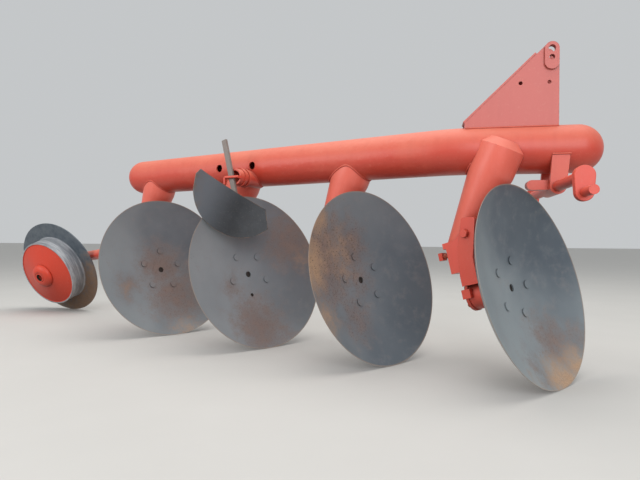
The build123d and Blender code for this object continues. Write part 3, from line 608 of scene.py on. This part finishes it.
# the numbered pieces that have a finish for each disc
ROUNDING = {"hub": 2.0, "disc": 0.0, "disc_bolts": 3.0}
for name, obj in nodes.items():
    row = next((r for r in FINISH if name.startswith(r[0])), None)
    if row:
        paint(obj, row[1])
        dress(obj, row[2])
    else:
        kind, number = name[:-2], int(name[-1])
        paint(obj, hub_finish[number] if kind == "hub" else disc_finish[number])
        dress(obj, ROUNDING[kind])
print("finished nodes", len(nodes))

# %% [markdown]
# ## Weld seams
# Legs, mast, boss and brackets are joined by electric arc welds. A hand-laid seam is a low bead with a
# ripple every few millimetres where each drop froze, and paint lies over it. A seam follows the line
# where two shapes meet. For a round leg on a round tube that line is a saddle with no simple formula, so
# each point of it is found by halving the step along the leg until it lies on the tube's skin. A tube is
# then swept along the points, and its radius swells at each ripple.

# %% Tools for seams


def new_piece(name, verts, faces, body, material, slot):
    """Mesh object from points and faces, riding on a body, with its finish."""
    mesh = bpy.data.meshes.new(name)
    mesh.from_pydata(verts, [], faces)
    mesh.validate()
    for polygon in mesh.polygons:
        polygon.use_smooth = True
    obj = bpy.data.objects.new(name, mesh)
    bpy.context.scene.collection.objects.link(obj)
    paint(obj, material)
    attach(obj, body)
    return obj


def evenly(points, step, closed):
    """The same line with its points a step apart."""
    loop = list(points) + ([points[0]] if closed else [])
    out, spare = [loop[0]], 0.0
    for a, b in zip(loop, loop[1:]):
        run = (b - a).length
        at = step - spare
        while at < run:
            out.append(a.lerp(b, at / run))
            at += step
        spare = run - (at - step)
    if closed and (out[-1] - out[0]).length < step * 0.6:
        out.pop()
    return out


def walls(rings, sides, closed=False):
    """Faces between rings of points, with two end faces where the run of rings is open."""
    faces = []
    for i in range(rings if closed else rings - 1):
        j = (i + 1) % rings
        for k in range(sides):
            m = (k + 1) % sides
            faces.append((i * sides + k, i * sides + m, j * sides + m, j * sides + k))
    if not closed:
        faces.append(tuple(range(sides))[::-1])
        faces.append(tuple((rings - 1) * sides + k for k in range(sides)))
    return faces


def swept(points, radii, sides, closed):
    """Points and faces of a tube along a line, with one radius for each point."""
    verts = []
    count = len(points)
    across = None
    for i, point in enumerate(points):
        after = points[(i + 1) % count] if closed or i + 1 < count else point
        before = points[i - 1] if closed or i else point
        run = (after - before).normalized()
        if across is None:
            across = run.orthogonal().normalized()
        across = (across - run * across.dot(run)).normalized()
        over = run.cross(across)
        for k in range(sides):
            turn = 2 * math.pi * k / sides
            verts.append(point + (across * math.cos(turn) + over * math.sin(turn)) * radii[i])
    return verts, walls(count, sides, closed)


def seam(points, width_mm, closed=False):
    """Weld bead along a line, with a ripple every 4.5 mm that takes three points."""
    swell = (0.82, 1.0, 1.1)
    line = evenly(points, 4.5 * MM / len(swell), closed)
    radii = [width_mm * MM / 2 * swell[i % len(swell)] for i in range(len(line))]
    return swept(line, radii, 6, closed)


def joined(shapes):
    """Points and faces of several shapes as one list."""
    verts, faces = [], []
    for points, sides in shapes:
        base = len(verts)
        verts += points
        faces += [tuple(base + k for k in face) for face in sides]
    return verts, faces


def saddles(start, axis, radius, outside, reach=0.4, steps=144):
    """Lines where a round bar's skin leaves another body. outside is positive out of that body."""
    side = axis.orthogonal().normalized()
    over = axis.cross(side)
    ring = []
    for i in range(steps):
        turn = 2 * math.pi * i / steps
        skin = start + (side * math.cos(turn) + over * math.sin(turn)) * radius
        if outside(skin) > 0:
            ring.append(None)
            continue
        near, far = 0.0, reach
        for _ in range(24):
            half = (near + far) / 2
            near, far = (half, far) if outside(skin + axis * half) < 0 else (near, half)
        ring.append(skin + axis * near)
    if None not in ring:
        return [(ring, True)]
    first = ring.index(None)
    runs, line = [], []
    for spot in ring[first:] + ring[:first]:
        if spot is None:
            if len(line) > 3:
                runs.append((line, False))
            line = []
        else:
            line.append(spot)
    return runs + ([(line, False)] if len(line) > 3 else [])


def round_line(centre, axis, radius, steps=96):
    """Points of a circle about an axis."""
    side = axis.orthogonal().normalized()
    over = axis.cross(side)
    turns = [2 * math.pi * i / steps for i in range(steps)]
    return [centre + (side * math.cos(t) + over * math.sin(t)) * radius for t in turns]


print("seam tools ready")

# %% Where the seams run
beam_axis_point = gang_point(0.0, beam_offset, beam_height)
bracket_low, bracket_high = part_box("hitch_bracket")
front_beam_y = (bracket_low.y + bracket_high.y) / 2
front_axis_point = Vector((start_spot.x, front_beam_y, beam_height))
leg_rake = math.radians(23.7)
leg_down = (along * -math.sin(leg_rake) - UP * math.cos(leg_rake)).normalized()
# a leg's top lies this far behind its disc's middle, and the scraper's boss this far behind the front disc
leg_back, leg_radius = 0.133, 0.083
boss_back, boss_height, boss_radius = 1.256, 0.766, 0.037


def out_of_rear_beam(spot):
    """Way of a spot out of the tube behind the bend."""
    return (spot - beam_axis_point).cross(along).length - beam_radius


def out_of_front_beam(spot):
    """Way of a spot out of the tube before the bend."""
    return (spot - front_axis_point).cross(FORWARD).length - beam_radius


seams = []
for number in disc_numbers:
    disc_back = (front_disc - disc_centre[number]).length
    top = gang_point(disc_back + leg_back, beam_offset, beam_height)
    outside = out_of_front_beam if number == 4 else out_of_rear_beam
    for line, closed in saddles(top, leg_down, leg_radius, outside):
        seams.append(seam(line, 9.0, closed))
boss_start = gang_point(boss_back, beam_offset, boss_height)
for line, closed in saddles(boss_start, -to_left, boss_radius, out_of_rear_beam):
    seams.append(seam(line, 7.0, closed))


def along_tube(side, upper, face, lift, ends):
    """Straight seam where a plate stands on the front tube, by a row of PLATES."""
    y = front_beam_y + side * (face + 0.5) * MM
    skin_height = math.sqrt(beam_radius ** 2 - (face * MM) ** 2)
    z = beam_height + upper * skin_height + lift * MM
    return seam([Vector((start_spot.x + x * MM, y, z)) for x in ends], 7.0)


# each row: +1 for the tube's upper side or -1 for its lower one, and in mm the plate's face from the tube's
# middle, how far the bead lies above the tube's skin there, and its two ends forward of the front disc
PLATES = ((1, 39.0, 1.0, (-224, 104)), (-1, 85.0, -3.0, (72, 138)))
shaft_low, shaft_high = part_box("cross_shaft")
shaft_middle = (shaft_low + shaft_high) / 2
# the beads round the shaft run half a millimetre before the cranks' inner faces
crank_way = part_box("crank_left")[0].y - shaft_middle.y - 0.5 * MM
shaft_bead_radius = 0.020
SIDEWAYS = Vector((0, 1, 0))
for side in (-1, 1):
    for row in PLATES:
        seams.append(along_tube(side, *row))
    centre = shaft_middle + SIDEWAYS * side * crank_way
    seams.append(seam(round_line(centre, SIDEWAYS, shaft_bead_radius), 5.0, True))
verts, faces = joined(seams)
new_piece("weld_seams", verts, faces, "frame", red_enamel, "red_enamel")
print("seams on the frame", len(seams), "faces", len(faces))

# %% [markdown]
# ## The rear wheel's seams
# The furrow wheel is a flanged drum with a shallow pressed cone welded in. Its seams are plain circles
# about the wheel's own axis, and they turn with the wheel, so they are a piece of their own that rides on
# that body.

# %% Seams of the wheel


def wheel_seam(way, radius, width, steps):
    """Seam around the wheel's axis, by its way along it, its radius and its width in mm."""
    centre = wheel_centre + wheel_axis * way * MM
    return seam(round_line(centre, wheel_axis, radius * MM, steps), width, True)


flange_ring = wheel_seam(5.5, 214.5, 8.0, 180)
cone_ring = wheel_seam(102.5, 203.5, 6.0, 180)
nose_ring = wheel_seam(141.0, 42.5, 4.0, 96)
new_piece("flange_seam", *flange_ring, "rear_wheel", drum_steel, "rim_steel")
new_piece("face_seams", *joined([cone_ring, nose_ring]), "rear_wheel", wheel_enamel, "red_enamel")
print("wheel seams with", [len(ring[1]) for ring in (flange_ring, cone_ring, nose_ring)], "faces")

# %% [markdown]
# ## The wheel's nose and a dark plug
# The nose of the wheel is cast with a wide fillet that swells from the cone. It is turned from a short
# profile of heights and radii, which follow a quarter of an ellipse. One bolt of the second disc is lost,
# and its hole is closed by a dark plug that paints the shade inside it: its front is a shallow dome, pushed
# in and out a little by a short wave so that it doesn't look machined.

# %% Nose fillet and the plug of painted shade


def turned(spot, axis, profile, sides=20, ring=False):
    """Turned part from rows of height and radius in mm. In a ring the last row runs back to the first."""
    verts = []
    for rise, radius in profile:
        verts += round_line(spot + axis * rise * MM, axis, radius * MM, sides)
    return verts, walls(len(profile), sides, ring)


# the fillet starts on the cone at its foot, ends on the nose at its top and hides its back inside them
foot_rise, foot_radius = 134.0, 78.0
top_rise, top_radius = 164.5, 33.0
fillet_steps = 12
fillet = []
for step in range(fillet_steps + 1):
    angle = math.pi / 2 * step / fillet_steps
    rise = foot_rise + (top_rise - foot_rise) * math.sin(angle)
    fillet.append((rise, top_radius + (foot_radius - top_radius) * math.cos(angle)))
fillet.append((foot_rise - 4.0, top_radius))
verts, faces = turned(wheel_centre, wheel_axis, fillet, 72, ring=True)
new_piece("nose_fillet", verts, faces, "rear_wheel", wheel_enamel, "red_enamel")


def dark_plug_of_shade():
    """Near-black matt plug that paints the shade in a hole, grey-brown, with grains of 1 mm and a few pale
    ones.
    """
    material, tree, shader = surface("dark_plug_of_shade")
    where = add(tree, "place")
    clod = add(tree, "noise", where, every(7.0), 6.0, 0.7)
    fine = add(tree, "noise", where, every(1.2), 3.0, 0.55)
    colour = add(tree, "mix", add(tree, "stretch", clod, 0.3, 0.7), "#1f1813", "#3b2d23")
    colour = add(tree, "mix", add(tree, "stretch", fine, 0.62, 0.75, 0.0, 0.5), colour, "#6b5542")
    rough = add(tree, "stretch", fine, 0.2, 0.8, 0.85, 0.97)
    connect(tree, shader, colour, rough, add(tree, "bump", fine, 0.8, 0.5 * MM))
    return material


# the empty hole is the lowest of the second disc's, 100 mm from its axis
hole = disc_point(2, 0, -0.1, 0)
plug_rows = ((-100.0, 8.0), (-90.0, 8.2), (-88.5, 7.6), (-87.6, 5.4), (-87.2, 2.6), (-87.1, 0.6))
verts, faces = turned(hole, disc_axis, plug_rows, 24)
# a wave of half a millimetre, 4 mm long, makes the plug uneven
verts = [v + disc_axis * 0.5 * MM * math.sin(900 * v.x + 1300 * v.z) for v in verts]
# the plug paints the shade inside the empty bolt hole
new_piece("dark_plug_in_the_empty_hole", verts, faces, "disc_2", dark_plug_of_shade(), "disc_steel")
print("nose fillet rows", len(fillet), "dark plug rows", len(plug_rows))

# %% [markdown]
# ## Bolts, threads and grease nipples
# Each bearing is closed by a cap with four bolts and is greased through a nipple. A bolt head is a
# hexagon with a turned chamfer: cutting its corners with a cone is slow, so the top ring of points is
# simply drawn in, which looks the same at this size. The set bolts of the three front feet show their
# thread, a small ridge that winds up the bolt as a helix, 2.5 mm a turn.

# %% Small parts of the bearings


def hexagon_head(spot, axis, size_mm, height_mm, turn=0.0):
    """Bolt head with a chamfered top. size_mm is across the flats."""
    side = axis.orthogonal().normalized()
    over = axis.cross(side)
    corner = size_mm * MM / math.sqrt(3)
    verts = []
    # rows: share of the height and share of the corner radius
    rows = ((0.0, 1.0), (0.82, 1.0), (1.0, 0.86))
    for rise, reach in rows:
        for k in range(6):
            angle = turn + math.pi * k / 3
            spoke = side * math.cos(angle) + over * math.sin(angle)
            verts.append(spot + axis * height_mm * MM * rise + spoke * corner * reach)
    return verts, walls(len(rows), 6)


cap_face, bolt_circle = -0.246, 0.044
# rows of height and radius in mm. The washer is let into the cap by 0.2 mm, so that no gap shows below it
washer = ((0, 9), (1.6, 9))
washer_foot = cap_face + 0.2 * MM
head_foot = washer_foot - 1.6 * MM
nipple = ((0, 4.5), (4, 4.5), (4, 3.0), (7, 2.6), (9, 3.4), (11, 2.4), (11.8, 1.2))
nipple_way, nipple_foot = -0.2, 0.0515
# nipples point down and a little to the side
outward = (-disc_level * 0.2 - disc_up * 0.98).normalized()
shapes, nipples = [], []
for number in disc_numbers:
    for k in range(4):
        angle = math.pi / 4 + k * math.pi / 2
        x, y = bolt_circle * math.cos(angle), bolt_circle * math.sin(angle)
        shapes.append(turned(disc_point(number, x, y, washer_foot), -disc_axis, washer))
        spot = disc_point(number, x, y, head_foot)
        shapes.append(hexagon_head(spot, -disc_axis, 16.0, 6.4, k * 0.4))
    spot = disc_point(number, 0, 0, nipple_way) + outward * nipple_foot
    nipples.append(turned(spot, outward, nipple, 12))
for name, parts in (("bearing_cap_bolts", shapes), ("grease_nipples", nipples)):
    dress(new_piece(name, *joined(parts), "frame", bolt_steel, "bolts"), 0.0)
print("cap bolts", len(shapes) // 2, "nipples", len(nipples))

# %% Threads of the set bolts
pitch, ridge = 2.5 * MM, 0.9 * MM
thread_from, thread_to, thread_radius = -0.3315, -0.2985, 0.0098
# the bolt's line runs this far up the disc's plane from its axis
bolt_up = 0.172
steps_a_turn = 20
steps = int((thread_to - thread_from) / pitch * steps_a_turn)
threads = []
with_set_bolt = (2, 3, 4)
for number in with_set_bolt:
    line = []
    for i in range(steps + 1):
        turn = i / steps_a_turn
        x = thread_radius * math.cos(2 * math.pi * turn)
        y = thread_radius * math.sin(2 * math.pi * turn) + bolt_up
        line.append(disc_point(number, x, y, thread_from + pitch * turn))
    threads.append(swept(line, [ridge] * len(line), 5, False))
new_piece("set_bolt_threads", *joined(threads), "frame", bolt_steel, "bolts")
print("threads", len(threads), "with", steps, "steps each")

# %% [markdown]
# ## Floor and light
# A pale floor and a soft overcast light show the shapes without hard shadows. A large lamp above stands
# for the bright sky, which bleaches the tube's upper side, and two lamps far off on the camera's side
# open the shadows. Far lamps leave no bright pools on the floor, because their light hardly falls off
# across it.

# %% Floor and lights
mesh = bpy.data.meshes.new("floor")
span = 40.0
edge = [(-span, -span, 0), (span, -span, 0), (span, span, 0), (-span, span, 0)]
mesh.from_pydata(edge, [], [(0, 1, 2, 3)])
floor = bpy.data.objects.new("floor", mesh)
bpy.context.scene.collection.objects.link(floor)
floor_paint, tree, shader = surface("pale_floor")
place = add(tree, "place")
tone = add(tree, "mix", add(tree, "noise", place, every(400.0), 4.0, 0.55), "#c4c2be", "#cbc9c5")
tree.links.new(tone, shader.inputs["Base Color"])
shader.inputs["Roughness"].default_value = 0.9
paint(floor, floor_paint)


def lamp(name, spot, target, size, power, colour):
    """Square lamp that looks at a target."""
    data = bpy.data.lights.new(name, "AREA")
    data.size = size
    data.energy = power
    data.color = linear(colour)[:3]
    obj = bpy.data.objects.new(name, data)
    bpy.context.scene.collection.objects.link(obj)
    obj.location = spot
    obj.rotation_euler = (Vector(target) - Vector(spot)).to_track_quat("-Z", "Y").to_euler()


# each row: name, place, what it looks at, size, power in watts and colour
LAMPS = (
    ("sky", (0.6, 0.4, 5.0), (0.2, 0.0, 0.4), 5.0, 165.0, "#fffdf8"),
    ("fill", (2.8, -6.6, 2.8), (0.2, 0.0, 0.5), 4.5, 225.0, "#f8faff"),
    ("side", (-5.0, -4.6, 2.6), (-0.6, 0.2, 0.4), 3.5, 140.0, "#ffffff"),
)
for row in LAMPS:
    lamp(*row)
world = bpy.data.worlds.new("overcast")
bpy.context.scene.world = world
world.use_nodes = True
world.node_tree.nodes["Background"].inputs["Color"].default_value = linear("#e9ecee")
world.node_tree.nodes["Background"].inputs["Strength"].default_value = 0.68
bpy.context.scene.view_settings.view_transform = "Standard"
print("lamps", [row[0] for row in LAMPS])

# %% [markdown]
# ## The end
# The visual model has to stay within the CAD's box.

# %% Finish
print("finished")
